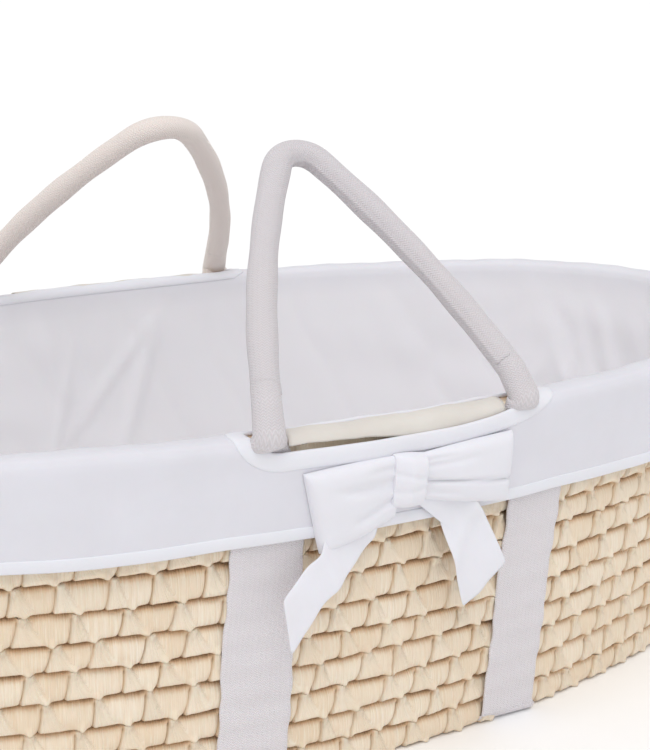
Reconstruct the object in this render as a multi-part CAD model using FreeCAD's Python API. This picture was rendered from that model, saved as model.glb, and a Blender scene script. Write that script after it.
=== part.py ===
import FreeCAD, Part
import math
import os

from FreeCAD import Vector

# Moses basket: coiled husk shell, folded cotton liner, carry straps, two hinged handles, mattress.
# Millimetres, +Z up. The origin is the middle of the underside, +X runs along the basket's length,
# and the side with the bow faces -Y.

# ---- driving dimensions -------------------------------------------------------------------
HALF_LENGTH = 430.0          # outline over the liner, at the rim
HALF_WIDTH = 232.0
END_RADIUS = 182.0           # plan radius of the two ends at the rim
TAPER = 38.0                 # how far the foot of the wall lies inside the rim outline
ROWS = 12                    # husk rows from the base to the rim
ROW_PITCH = 19.3
ROW_THICKNESS = 13.0
ROW_ROUNDING = 5.0
GAP = 0.3                    # clearance between neighbouring pieces

BASE_RINGS = 6               # husk rings round the centre of the base
BASE_PITCH = 18.9
BASE_THICKNESS = 14.0

CLOTH = 1.6                  # cotton liner
SKIRT_DROP = 66.6            # rim to hem, outside
SKIRT_LEAN = 6.8             # how far the hem hangs inside the rim outline
HEM_BAND = 7.0
TRIM = 0.8                   # thickness of the bound edges
SLOTS = {-1: (-116.0, 104.0), 1: (-133.0, 112.0)}  # handle slots, by side: x from and to
SLOT_SILL = 219.0            # top edge of the skirt inside a handle slot
SLOT_BAND = 8.0

WEBBING = 2.2
WEBBING_WIDTH = 46.0
STRAPS = {"left": -91.5, "right": 102.5}  # middle of each carry strap
STRAP_END = 6.0              # the straps stop this far below the top of the shell

HINGE_Y = 227.0              # handles bend over the rim along this line
HINGE_Z = 240.0
FOOT = 20.0                  # soft foot between the bend and the stiff part of a handle
FOOT_WIDTH = 24.0
KNUCKLE_RADIUS = 7.5
TUBE_RADIUS = 8.8
TUBE_WALL = 2.0
CORE_RADIUS = 6.5
FRONT_HANDLE = {"feet": (-97.0, 80.3), "crown": -14.6, "height": 180.4, "top_radius": 18.6,
                "top_angles": (59.4, 56.4), "lean": 41.5, "side": -1}
BACK_HANDLE = {"feet": (-116.0, 96.8), "crown": -4.1, "height": 180.9, "top_radius": 33.1,
               "top_angles": (50.0, 50.7), "lean": 44.3, "side": 1}

MATTRESS_HEIGHT = 36.0
MATTRESS_COVER = 1.5
MATTRESS_PLAY = 5.0

BOW_BACK = HALF_WIDTH + 1.5  # the plane that the bow lies against
BOW_DEPTH = 10.0

# ---- derived sizes ------------------------------------------------------------------------
SHELL_TOP = ROWS * ROW_PITCH
HUSK_TOP_OFFSET = -(CLOTH + GAP + WEBBING + GAP)
HUSK_LEAN = TAPER + HUSK_TOP_OFFSET
ROW_STEP = HUSK_LEAN / ROWS  # each row stands this far outside the one below
HEIGHT = SHELL_TOP + GAP + CLOTH
HEM_Z = HEIGHT - SKIRT_DROP
STRAP_TOP = SHELL_TOP - STRAP_END
END_CENTRE = HALF_LENGTH - END_RADIUS
SIDE_RADIUS = (END_CENTRE ** 2 + HALF_WIDTH ** 2 - END_RADIUS ** 2) / (2 * (HALF_WIDTH - END_RADIUS))
SIDE_CENTRE = SIDE_RADIUS - HALF_WIDTH
END_SWEEP = math.degrees(math.atan2(SIDE_CENTRE, END_CENTRE))
FLOOR_Z = BASE_THICKNESS + GAP
MATTRESS_Z = FLOOR_Z + CLOTH + GAP


def husk_offset(z):
    """Offset, from the rim outline, of the leaning line that the husk rows' outer faces stay inside."""
    return HUSK_TOP_OFFSET - HUSK_LEAN * (SHELL_TOP - z) / SHELL_TOP


def inside_offset(z):
    """Offset of the line that the rows' inner faces stay outside, where the liner lies."""
    return husk_offset(z) - ROW_STEP - ROW_THICKNESS - GAP


def row_offset(index):
    """Offset of the outer face of one wall row, counted from 0 at the base."""
    return husk_offset(index * ROW_PITCH)


def save(shape, name):
    shape.exportStep(os.path.join("parts", name + ".step"))


# ---- building blocks ----------------------------------------------------------------------
def profile_face(points, rounding=0.0):
    """Closed face in the XZ plane from (offset, z) points, with its corners rounded."""
    corners = [Vector(x, 0, z) for x, z in points]
    count = len(corners)
    edges = []
    starts, ends = [], []
    for i, corner in enumerate(corners):
        before, after = corners[i - 1], corners[(i + 1) % count]
        to_before = (before - corner).normalize()
        to_after = (after - corner).normalize()
        half = to_before.getAngle(to_after) / 2
        reach = rounding / math.tan(half)
        starts.append(corner + to_before * reach)
        ends.append(corner + to_after * reach)
        if rounding:
            middle = corner + (to_before + to_after).normalize() * (rounding / math.sin(half) - rounding)
            edges.append(Part.Arc(starts[-1], middle, ends[-1]).toShape())
    for i in range(count):
        if (starts[(i + 1) % count] - ends[i]).Length > 1e-6:
            edges.append(Part.makeLine(ends[i], starts[(i + 1) % count]))
    return Part.Face(Part.Wire(Part.__sortEdges__(edges)))


def ring(points, rounding=0.0):
    """Sweep a profile, given as (offset from the rim outline, z), round the whole oval."""
    face = profile_face(points, rounding)
    arcs = [(END_CENTRE, 0.0, END_RADIUS, -END_SWEEP, END_SWEEP),
            (0.0, -SIDE_CENTRE, SIDE_RADIUS, END_SWEEP, 180 - END_SWEEP),
            (-END_CENTRE, 0.0, END_RADIUS, 180 - END_SWEEP, 180 + END_SWEEP),
            (0.0, SIDE_CENTRE, SIDE_RADIUS, 180 + END_SWEEP, 360 - END_SWEEP)]
    pieces = []
    for x, y, radius, start, end in arcs:
        section = face.copy()
        section.translate(Vector(radius, 0, 0))
        swept = section.revolve(Vector(0, 0, 0), Vector(0, 0, 1), end - start)
        swept.rotate(Vector(0, 0, 0), Vector(0, 0, 1), start)
        swept.translate(Vector(x, y, 0))
        pieces.append(swept)
    return pieces[0].fuse(pieces[1:]).removeSplitter().Solids[0]


def plate(offset, z, height):
    """Flat oval plate whose edge lies at an offset from the rim outline."""
    end, side = END_RADIUS + offset, SIDE_RADIUS + offset
    sweep = math.radians(END_SWEEP)
    edges = []
    for sign in (1, -1):
        tangent_low = Vector(sign * (END_CENTRE + end * math.cos(sweep)), -sign * end * math.sin(sweep), z)
        tangent_high = Vector(tangent_low.x, -tangent_low.y, z)
        edges.append(Part.Arc(tangent_low, Vector(sign * (END_CENTRE + end), 0, z), tangent_high).toShape())
        across = Vector(-tangent_high.x, tangent_high.y, z)
        edges.append(Part.Arc(tangent_high, Vector(0, sign * (side - SIDE_CENTRE), z), across).toShape())
    return Part.Face(Part.Wire(Part.__sortEdges__(edges))).extrude(Vector(0, 0, height))


def box(x0, x1, y0, y1, z0, z1):
    return Part.makeBox(x1 - x0, y1 - y0, z1 - z0, Vector(x0, y0, z0))


def band(outer, inner, z0, z1):
    """Profile between two leaning lines; outer and inner give the offset at a height."""
    return [(outer(z0), z0), (outer(z1), z1), (inner(z1), z1), (inner(z0), z0)]


# ---- husk shell ---------------------------------------------------------------------------
def wall_rows():
    rows = []
    for i in range(ROWS):
        low = i * ROW_PITCH
        high = low + ROW_PITCH - GAP
        outer = row_offset(i)
        inner = outer - ROW_THICKNESS
        rows.append(ring([(outer, low), (outer, high), (inner, high), (inner, low)], ROW_ROUNDING))
    return rows


def base_rows():
    """Concentric rings, and straight rows that fill the oval left in the middle."""
    edge = row_offset(0) - ROW_THICKNESS - GAP
    rings = []
    for i in range(BASE_RINGS):
        outer = edge - i * BASE_PITCH
        inner = outer - BASE_PITCH + GAP
        rings.append(ring([(outer, 0), (outer, BASE_THICKNESS), (inner, BASE_THICKNESS), (inner, 0)], 2.0))
    centre = plate(edge - BASE_RINGS * BASE_PITCH, 0, BASE_THICKNESS)
    reach = HALF_WIDTH + edge - BASE_RINGS * BASE_PITCH
    count = 7
    pitch = 2 * reach / count
    bars = []
    for i in range(count):
        low = -reach + i * pitch
        bars.append(centre.common(box(-HALF_LENGTH, HALF_LENGTH, low, low + pitch - GAP, 0, BASE_THICKNESS)))
    return rings, bars


# ---- webbing ------------------------------------------------------------------------------
def carry_strap(x, clearance=0.0):
    """One webbing strap: up the front wall, under the base and up the back wall."""
    inner = strap_line(GAP - clearance)
    outer = strap_line(GAP + WEBBING + clearance)
    sides = ring(band(outer, inner, 0, STRAP_TOP))
    under = plate(outer(0), 0, WEBBING + clearance)
    half = WEBBING_WIDTH / 2 + clearance
    slab = box(x - half, x + half, -HALF_WIDTH, HALF_WIDTH, 0, HEIGHT)
    return sides.fuse(under).common(slab).removeSplitter()


def strap_line(extra):
    return lambda z: husk_offset(z) + extra


# ---- liner --------------------------------------------------------------------------------
def liner_profile():
    """Inner wall, fold over the rim and skirt, drawn as one bent strip of cloth."""
    hem, top = HEM_Z, HEIGHT
    inside = inside_offset(SHELL_TOP)
    foot = inside_offset(FLOOR_Z)
    skirt_bend, inner_bend = top - 7.0, top - 6.0
    return [(-SKIRT_LEAN, hem), (0, skirt_bend), (-2.2, top - 2.0), (-5.0, top),
            (inside + 2.5, top), (inside - 1.0, top - 2.2), (inside - CLOTH, inner_bend),
            (foot - CLOTH, FLOOR_Z), (foot, FLOOR_Z), (inside, inner_bend), (inside + 1.2, top - CLOTH - 1.2),
            (inside + 3.2, top - CLOTH), (-5.4, top - CLOTH), (-3.2, top - CLOTH - 1.2),
            (-CLOTH, skirt_bend), (-SKIRT_LEAN - CLOTH, hem)]


def skirt_line(z):
    return -SKIRT_LEAN * (HEIGHT - 7.0 - z) / (HEIGHT - 7.0 - HEM_Z)


def slot_cut(side):
    """Space that the handle slot takes out of the fold and the top of the skirt."""
    inner_face = HALF_WIDTH + inside_offset(SHELL_TOP)
    reach = HALF_WIDTH + 10
    low, high = sorted((side * reach, side * inner_face))
    left, right = SLOTS[side]
    outside = box(left, right, low, high, SLOT_SILL, HEIGHT + 5)
    low, high = sorted((side * reach, side * (inner_face - 12)))
    lid = box(left, right, low, high, SHELL_TOP - 1.0, HEIGHT + 5)
    return outside.fuse(lid)


def side_strip(points, side, x0, x1):
    """Part of a ring on the front (-1) or back (1) side between two x positions."""
    low, high = sorted((side * (HALF_WIDTH + 20), side * 60))
    return ring(points).common(box(x0, x1, low, high, -5, HEIGHT + 20))


def liner():
    cloth = ring(liner_profile())
    for side in (-1, 1):
        cloth = cloth.cut(slot_cut(side))
    return cloth


def slot_binding(side):
    """Bound edge of the skirt along the sill of a handle slot."""
    gap = 0.1
    points = band(lambda z: skirt_line(z) + gap + TRIM, lambda z: skirt_line(z) + gap,
                  SLOT_SILL - SLOT_BAND, SLOT_SILL)
    return side_strip(points, side, *SLOTS[side])


def slot_facing(handle):
    """Cloth tape laid over the rim row inside a handle slot, clear of the straps and the feet."""
    gap = 0.15
    outer = row_offset(ROWS - 1)
    inner = outer - ROW_THICKNESS
    top = SHELL_TOP - GAP + gap
    points = [(outer + gap, SHELL_TOP - 12), (outer + gap, top), (inner + 1, top),
              (inner + 1, top + 1.2), (outer + gap + 1.2, top + 1.2), (outer + gap + 1.2, SHELL_TOP - 12)]
    left = max(STRAPS["left"] + WEBBING_WIDTH / 2, handle["feet"][0] + FOOT_WIDTH / 2) + 1
    right = min(STRAPS["right"] - WEBBING_WIDTH / 2, handle["feet"][1] - FOOT_WIDTH / 2) - 1
    return side_strip(points, handle["side"], left, right)


def hem_binding():
    gap = 0.1
    return ring(band(lambda z: skirt_line(z) + gap + TRIM, lambda z: skirt_line(z) + gap,
                     HEM_Z, HEM_Z + HEM_BAND))


# ---- handles ------------------------------------------------------------------------------
def arch_wire(handle, start):
    """Centre line of a handle, upright in the XZ plane: leg arc, top arc, leg arc."""
    radius = handle["top_radius"]
    crown = Vector(handle["crown"], 0, handle["height"])
    legs = []
    for end, foot_x, degrees in zip((-1, 1), handle["feet"], handle["top_angles"]):
        angle = math.radians(degrees)
        join = crown + Vector(end * radius * math.sin(angle), 0, radius * (math.cos(angle) - 1))
        chord = Vector(foot_x, 0, 0) - join
        inward = Vector(-end * math.sin(angle), 0, -math.cos(angle))
        leg_radius = chord.Length ** 2 / (2 * chord.dot(inward))
        centre = join + inward * leg_radius
        foot_angle = math.asin((start - centre.z) / leg_radius)
        join_angle = math.pi / 2 - angle
        legs.append([centre + Vector(end * math.cos(a), 0, math.sin(a)) * leg_radius
                     for a in (foot_angle, (foot_angle + join_angle) / 2, join_angle)])
    left, right = legs
    arcs = [Part.Arc(*left), Part.Arc(left[2], crown, right[2]), Part.Arc(*reversed(right))]
    return Part.Wire([arc.toShape() for arc in arcs])


def tube(wire, radius):
    first = wire.Edges[0]
    start = first.valueAt(first.FirstParameter)
    along = first.tangentAt(first.FirstParameter)
    disc = Part.Wire(Part.makeCircle(radius, start, along))
    return wire.makePipeShell([disc], True, False)


def placed(shape, handle):
    """Lean an upright handle inwards over the basket about its hinge line."""
    shape.rotate(Vector(0, 0, 0), Vector(1, 0, 0), handle["side"] * handle["lean"])
    shape.translate(Vector(0, handle["side"] * HINGE_Y, HINGE_Z))
    return shape


def handle_pieces(handle):
    path = arch_wire(handle, FOOT)
    sleeve = tube(path, TUBE_RADIUS).cut(tube(arch_wire(handle, FOOT - 3), TUBE_RADIUS - TUBE_WALL))
    core = tube(arch_wire(handle, FOOT + 2), CORE_RADIUS)
    return placed(sleeve, handle), placed(core, handle)


def handle_feet(handle):
    """Bent webbing feet that join a handle's two legs to the tops of the carry straps."""
    side = handle["side"]
    points = band(strap_line(GAP + WEBBING), strap_line(GAP), STRAP_TOP + GAP, HINGE_Z - 4)
    feet = []
    for x in handle["feet"]:
        tab = side_strip(points, side, x - FOOT_WIDTH / 2, x + FOOT_WIDTH / 2)
        knuckle = Part.makeSphere(KNUCKLE_RADIUS, Vector(x, side * HINGE_Y, HINGE_Z))
        feet.append(tab.fuse(knuckle).Solids[0])
    return Part.makeCompound(feet)


# ---- mattress -----------------------------------------------------------------------------
def mattress():
    edge = inside_offset(FLOOR_Z) - CLOTH - MATTRESS_PLAY
    block = plate(edge, MATTRESS_Z, MATTRESS_HEIGHT)
    rims = [e for e in block.Edges if abs(e.BoundBox.ZLength) < 1e-6]
    block = block.makeFillet(10.0, rims)
    inset = MATTRESS_COVER + GAP
    core = plate(edge - inset, MATTRESS_Z + inset, MATTRESS_HEIGHT - 2 * inset)
    rims = [e for e in core.Edges if abs(e.BoundBox.ZLength) < 1e-6]
    core = core.makeFillet(10.0 - inset, rims)
    hollow = plate(edge - MATTRESS_COVER, MATTRESS_Z + MATTRESS_COVER, MATTRESS_HEIGHT - 2 * MATTRESS_COVER)
    rims = [e for e in hollow.Edges if abs(e.BoundBox.ZLength) < 1e-6]
    hollow = hollow.makeFillet(10.0 - MATTRESS_COVER, rims)
    return block.cut(hollow), core


# ---- bow ----------------------------------------------------------------------------------
def bow_panel(outline, front, back):
    """Flat panel of the bow: an outline in x and z, between two depths in front of the skirt."""
    corners = [Vector(x, -BOW_BACK - back, z) for x, z in outline]
    face = Part.Face(Part.makePolygon(corners + corners[:1]))
    return face.extrude(Vector(0, -(front - back), 0))


def tail_panel(outline, lean):
    """Hanging end of the bow, leaning in towards the wall below the hem."""
    panel = bow_panel(outline, 3.0, 0.0)
    panel.rotate(Vector(0, -BOW_BACK, 178), Vector(1, 0, 0), lean)
    return panel


def bow():
    gap = 1.0
    knot_left, knot_right = -20.0, 0.0
    knot = bow_panel([(knot_left, 184), (knot_right, 181), (knot_right, 212), (knot_left, 215)],
                     BOW_DEPTH + 4, 0.0)
    left = bow_panel([(knot_left - gap, 186), (-32, 171.5), (-69, 169.5), (-81, 211), (-51, 213),
                      (knot_left - gap, 212)], BOW_DEPTH, 0.0)
    right = bow_panel([(knot_right + gap, 185), (66, 171), (65, 217), (18, 218), (knot_right + gap, 209)],
                      BOW_DEPTH, 0.0)
    tail_left = tail_panel([(-63, 165), (-30, 166), (-58, 136), (-70, 119), (-83, 102), (-89, 139)], 9.0)
    tail_right = tail_panel([(14, 166), (48, 165), (67, 131), (35, 107)], 9.0)
    return {"bow_knot": knot, "bow_loops": Part.makeCompound([left, right]),
            "bow_tails": Part.makeCompound([tail_left, tail_right])}


# ---- assembly -----------------------------------------------------------------------------
def main():
    os.makedirs("parts", exist_ok=True)
    rows = wall_rows()
    rings, bars = base_rows()
    channels = [carry_strap(x, GAP) for x in STRAPS.values()]
    rows[0] = rows[0].cut(channels)
    for number, row in enumerate(rows, 1):
        save(row, "wall_row_%02d" % number)
    save(Part.makeCompound([r.cut(channels) for r in rings]), "base_rings")
    save(Part.makeCompound([b.cut(channels) for b in bars]), "base_centre_rows")
    for end, x in STRAPS.items():
        save(carry_strap(x), "carry_strap_" + end)
    save(liner(), "liner_wall_and_skirt")
    save(plate(inside_offset(FLOOR_Z) - CLOTH - GAP, FLOOR_Z, CLOTH), "liner_floor")
    save(hem_binding(), "hem_binding")
    for name, handle in (("front", FRONT_HANDLE), ("back", BACK_HANDLE)):
        save(slot_binding(handle["side"]), "slot_binding_" + name)
        save(slot_facing(handle), "slot_facing_" + name)
        sleeve, core = handle_pieces(handle)
        save(sleeve, "handle_sleeve_" + name)
        save(core, "handle_core_" + name)
        save(handle_feet(handle), "handle_feet_" + name)
    cover, foam = mattress()
    save(cover, "mattress_cover")
    save(foam, "mattress_foam")
    for name, shape in bow().items():
        save(shape, name)


main()
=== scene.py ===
import math

import bmesh
import bpy
import numpy as np
from mathutils import Matrix, Vector


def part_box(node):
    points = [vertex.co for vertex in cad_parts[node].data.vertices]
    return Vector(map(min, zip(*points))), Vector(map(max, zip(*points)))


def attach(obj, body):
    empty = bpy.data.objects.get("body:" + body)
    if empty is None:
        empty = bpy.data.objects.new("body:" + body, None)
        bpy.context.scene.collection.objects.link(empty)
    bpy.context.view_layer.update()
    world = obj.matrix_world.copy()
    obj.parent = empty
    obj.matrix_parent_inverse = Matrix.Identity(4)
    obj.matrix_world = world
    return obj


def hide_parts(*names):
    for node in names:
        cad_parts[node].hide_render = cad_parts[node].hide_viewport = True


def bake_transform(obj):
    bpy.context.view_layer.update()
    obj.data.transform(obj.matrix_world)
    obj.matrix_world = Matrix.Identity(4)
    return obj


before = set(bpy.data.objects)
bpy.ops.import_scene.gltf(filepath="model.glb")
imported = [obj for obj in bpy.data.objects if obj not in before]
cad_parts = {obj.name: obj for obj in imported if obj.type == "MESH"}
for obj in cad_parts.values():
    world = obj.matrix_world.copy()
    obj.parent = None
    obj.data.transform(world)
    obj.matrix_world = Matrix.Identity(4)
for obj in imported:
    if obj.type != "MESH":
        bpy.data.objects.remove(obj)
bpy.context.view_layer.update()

# Moses basket: coiled husk rows, folded cotton liner, carry straps, two webbing handles, bow, mattress.
# Lengths below are millimetres; meshes are scaled to metres as they are made.

MM = 0.001
RNG = np.random.default_rng(11)


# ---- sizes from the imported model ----
def mm_box(node):
    """Lower and upper corner of a CAD node, in millimetres."""
    low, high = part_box(node)
    return np.array(low) / MM, np.array(high) / MM


HALF_LENGTH, _, RIM_TOP = mm_box("liner_wall_and_skirt")[1]
ROW_NODES = sorted(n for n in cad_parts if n.startswith("wall_row_"))
ROW_PITCH = mm_box(ROW_NODES[1])[0][2] - mm_box(ROW_NODES[0])[0][2]
TOP_ROW = mm_box(ROW_NODES[-1])[1]
HALF_WIDTH = TOP_ROW[1] + HALF_LENGTH - TOP_ROW[0]
HEM_Z = mm_box("hem_binding")[0][2]
FLOOR_Z = mm_box("liner_floor")[0][2]

# ---- sizes the model repeats from its design ----
END_RADIUS = 182.0
ROW_THICKNESS = 13.0
WEBBING = 2.0
WEBBING_BEND = 6.0          # radius that a strap turns under the base with
HINGE_Y, HINGE_Z = 227.0, 240.0
FOOT = 20.0                 # soft foot between the bend and the stiff part of a handle
TUBE_RADIUS = 8.8
FRONT_HANDLE = {"name": "front", "feet": (-97.0, 80.3), "crown": -14.6, "height": 180.4,
                "top_radius": 18.6, "top_angles": (59.4, 56.4), "lean": 41.5, "side": -1}
BACK_HANDLE = {"name": "back", "feet": (-116.0, 96.8), "crown": -4.1, "height": 180.9,
               "top_radius": 33.1, "top_angles": (50.0, 50.7), "lean": 44.3, "side": 1}
SLOTS = {-1: (-116.0, 104.0), 1: (-133.0, 112.0)}  # by side: x from and to
SLOT_TUCK = (7.0, -4.0)     # how far the binding closes in on each end of a slot
SLOT_SILL = 224.2           # top of the skirt inside a slot


# ---- the oval ----
class Oval:
    """Rim outline of four tangent arcs. Arc length s runs anticlockwise from +X."""

    def __init__(self, half_length, half_width, end_radius):
        self.end = end_radius
        self.reach = half_length - end_radius
        self.side = ((self.reach ** 2 + half_width ** 2 - end_radius ** 2)
                     / (2 * (half_width - end_radius)))
        self.drop = self.side - half_width
        self.sweep = math.atan2(self.drop, self.reach)
        self.end_arc = end_radius * self.sweep
        self.side_arc = self.side * (math.pi / 2 - self.sweep)
        self.length = 4 * (self.end_arc + self.side_arc)

    def frame_at(self, s):
        """Points (x, y) and outward normals on the outline at arc lengths s."""
        s = np.mod(np.asarray(s, float), self.length)
        half = self.length / 2
        flip = s >= half
        t = np.where(flip, s - half, s)
        first = t < self.end_arc
        last = t > half - self.end_arc
        angle = np.where(first, t / self.end, self.sweep + (t - self.end_arc) / self.side)
        angle = np.where(last, math.pi - (half - t) / self.end, angle)
        nx, ny = np.cos(angle), np.sin(angle)
        cx = np.where(first, self.reach, np.where(last, -self.reach, 0.0))
        cy = np.where(first | last, 0.0, -self.drop)
        radius = np.where(first | last, self.end, self.side)
        sign = np.where(flip, -1.0, 1.0)
        return (sign * (cx + radius * nx), sign * (cy + radius * ny)), (sign * nx, sign * ny)

    def place(self, s, offset, z):
        """3-D points at an offset from the outline; the arguments broadcast."""
        (x, y), (nx, ny) = self.frame_at(s)
        x, y, z = np.broadcast_arrays(x + offset * nx, y + offset * ny, z)
        return np.stack([x, y, z], axis=-1)

    def s_at(self, x, side):
        """Arc length of the point on the front (-1) or back (1) long side at this x."""
        angle = math.asin(x / self.side)
        if side > 0:
            return self.length / 4 - angle * self.side
        return self.length * 0.75 + angle * self.side


OVAL = Oval(HALF_LENGTH, HALF_WIDTH, END_RADIUS)
FOOT_OFFSET = mm_box(ROW_NODES[0])[1][0] - HALF_LENGTH
TOP_OFFSET = TOP_ROW[0] - HALF_LENGTH


def husk_offset(z):
    """Offset of the leaning line that the husk rows stay inside."""
    per_row = (TOP_OFFSET - FOOT_OFFSET) / (len(ROW_NODES) - 1)
    return FOOT_OFFSET + per_row * z / ROW_PITCH


# ---- small helpers ----
def smooth(a, b, x):
    """Soft step from 0 at a to 1 at b."""
    t = np.clip((x - a) / (b - a), 0.0, 1.0)
    return t * t * (3 - 2 * t)


def waves(x, *terms):
    """Sum of sines: each term is (wavelength, height, phase)."""
    return sum(height * np.sin(2 * math.pi * x / length + phase) for length, height, phase in terms)


def walked(path):
    """Length walked along a line of points, at each of them."""
    return np.concatenate([[0], np.cumsum(np.linalg.norm(np.diff(path, axis=0), axis=1))])


def unit(vectors):
    """Vectors of length one."""
    return vectors / np.linalg.norm(vectors, axis=-1, keepdims=True)


def circle(count):
    """Even angles round a circle."""
    return np.linspace(0, 2 * math.pi, count, endpoint=False)


def spread(path, length, places):
    """Points of a flat line at these lengths along it."""
    return np.stack([np.interp(places, length, path[:, k]) for k in (0, 1)], 1)


def uv_grid(u, v):
    """UVs in metres from broadcastable grids in mm."""
    return np.stack(np.broadcast_arrays(u, v), axis=-1) * MM


def turn_of(count):
    """Arc lengths at even places round the oval."""
    return np.linspace(0, OVAL.length, count, endpoint=False)


def new_object(name, points, faces, uvs=None, values=None):
    """Mesh object from points in mm, quads, per-corner UVs and named point values."""
    points = np.asarray(points, float).reshape(-1, 3) * MM
    faces = np.asarray(faces, np.int32)
    mesh = bpy.data.meshes.new(name)
    mesh.vertices.add(len(points))
    mesh.vertices.foreach_set("co", points.astype(np.float32).ravel())
    sides = faces.shape[1]
    mesh.loops.add(faces.size)
    mesh.loops.foreach_set("vertex_index", faces.ravel())
    mesh.polygons.add(len(faces))
    mesh.polygons.foreach_set("loop_start", np.arange(len(faces), dtype=np.int32) * sides)
    mesh.polygons.foreach_set("use_smooth", np.full(len(faces), True))
    if uvs is not None:
        layer = mesh.uv_layers.new(name="UVMap")
        layer.data.foreach_set("uv", np.asarray(uvs, np.float32).ravel())
    for key, data in (values or {}).items():
        attribute = mesh.attributes.new(key, "FLOAT", "POINT")
        attribute.data.foreach_set("value", np.asarray(data, np.float32).ravel())
    mesh.update(calc_edges=True)
    mesh.validate()
    obj = bpy.data.objects.new(name, mesh)
    bpy.context.scene.collection.objects.link(obj)
    return obj


def grid_faces(nu, nv, closed_u=False, closed_v=False):
    """Quads of an nu by nv grid of points, and each corner's (u, v) index before wrapping."""
    u = np.arange(nu if closed_u else nu - 1)
    v = np.arange(nv if closed_v else nv - 1)
    u, v = (a.ravel() for a in np.meshgrid(u, v, indexing="ij"))
    cu = np.stack([u, u + 1, u + 1, u], axis=1)
    cv = np.stack([v, v, v + 1, v + 1], axis=1)
    return (cu % nu) * nv + cv % nv, cu, cv


def grid_object(name, points, closed_u=False, closed_v=False, uv=None, values=None):
    """Object from a (nu, nv, 3) grid. uv is a (nu+1, nv+1, 2) or (nu, nv, 2) grid, in metres."""
    nu, nv = points.shape[:2]
    faces, cu, cv = grid_faces(nu, nv, closed_u, closed_v)
    corner_uv = None
    if uv is not None:
        corner_uv = uv[np.minimum(cu, uv.shape[0] - 1), np.minimum(cv, uv.shape[1] - 1)]
    return new_object(name, points, faces, corner_uv, values)


def joined(name, objects):
    """Join objects into the first one and rename it."""
    for o in bpy.context.selected_objects:
        o.select_set(False)
    for o in objects:
        o.select_set(True)
    bpy.context.view_layer.objects.active = objects[0]
    bpy.ops.object.join()
    objects[0].name = name
    objects[0].data.name = name
    return objects[0]


def fixed(obj, body, slot, material, *nodes):
    """Give a piece its material and body, and hide the CAD nodes it stands for. The slot argument is not
    used.
    """
    obj.data.materials.clear()
    obj.data.materials.append(material)
    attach(obj, body)
    if nodes:
        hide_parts(*nodes)
    return obj


# ---- materials ----
class Nodes:
    """Short way to wire a material's nodes."""

    def __init__(self, name, roughness, sheen=0.0, subsurface=0.0):
        self.material = bpy.data.materials.new(name)
        self.material.use_nodes = True
        self.tree = self.material.node_tree
        self.shader = self.tree.nodes["Principled BSDF"]
        for key, value in (("Roughness", roughness), ("Sheen Weight", sheen), ("Sheen Roughness", 0.5),
                           ("Specular IOR Level", 0.25), ("Subsurface Weight", subsurface),
                           ("Subsurface Scale", 0.004)):
            self.shader.inputs[key].default_value = value

    def put(self, target, value):
        """Link a socket to an input, or set the input's value."""
        if isinstance(value, bpy.types.NodeSocket):
            self.tree.links.new(value, target)
        else:
            target.default_value = value

    def add(self, kind, **inputs):
        node = self.tree.nodes.new("ShaderNode" + kind)
        for key, value in inputs.items():
            target = node.inputs[int(key[1:])] if key[0] == "i" and key[1:].isdigit() else node.inputs[key]
            self.put(target, value)
        return node

    def math(self, operation, a, b=0.0):
        node = self.add("Math", i0=a, i1=b)
        node.operation = operation
        return node.outputs[0]

    def mix(self, factor, a, b):
        node = self.tree.nodes.new("ShaderNodeMix")
        node.data_type = "RGBA"
        for index, value in ((0, factor), (6, a), (7, b)):
            self.put(node.inputs[index], value)
        return node.outputs[2]

    def uv(self):
        return self.add("UVMap").outputs[0]

    def value(self, name):
        node = self.add("Attribute")
        node.attribute_name = name
        return node.outputs["Fac"]

    def scaled(self, vector, x, y, z=1.0):
        return self.add("Mapping", Vector=vector, Scale=(x, y, z)).outputs[0]

    def noise(self, vector, scale=1.0, detail=3.0, roughness=0.55):
        return self.add("TexNoise", Vector=vector, Scale=scale, Detail=detail, Roughness=roughness).outputs[0]

    def range(self, value, low, high, to_low=0.0, to_high=1.0):
        return self.add("MapRange", Value=value, i1=low, i2=high, i3=to_low, i4=to_high).outputs[0]

    def finish(self, colour, height=None, strength=0.5, distance=0.001):
        self.tree.links.new(colour, self.shader.inputs["Base Color"])
        if height is not None:
            bump = self.add("Bump", Strength=strength, Distance=distance, Height=height)
            self.tree.links.new(bump.outputs[0], self.shader.inputs["Normal"])
        return self.material


def weave_height(n, uv, pitch):
    """Plain weave: two thread directions that pass over and under each other, pitch in metres."""
    split = n.add("SeparateXYZ", Vector=uv)
    turn = 2 * math.pi / pitch
    warp = n.math("SINE", n.math("MULTIPLY", split.outputs[0], turn))
    weft = n.math("SINE", n.math("MULTIPLY", split.outputs[1], turn))
    return n.math("MULTIPLY", warp, weft)


def cotton_material(name, light, shade, pitch=0.0007, inside_painted_light=None, crown=0.0):
    """Fine plain weave; a paler colour, painted light, can take over where the cloth passes the crown of its
    fold.
    """
    n = Nodes(name, 0.85, 0.15, 0.05)
    uv = n.uv()
    thread = weave_height(n, uv, pitch)
    slub = n.noise(n.scaled(uv, 260, 40), detail=4.0)
    crumple = n.noise(n.scaled(uv, 22, 22), detail=5.0, roughness=0.6)
    colour = n.mix(n.range(crumple, 0.3, 0.7), shade, light)
    if inside_painted_light:
        split = n.add("SeparateXYZ", Vector=uv)
        colour = n.mix(n.range(split.outputs[1], crown * MM, (crown + 30) * MM), colour, inside_painted_light)
    height = n.math("ADD", n.math("MULTIPLY", thread, 0.12), n.math("MULTIPLY", slub, 0.25))
    height = n.math("ADD", height, n.math("MULTIPLY", crumple, 2.2))
    return n.finish(colour, height, 0.35, 0.0008)


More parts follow.
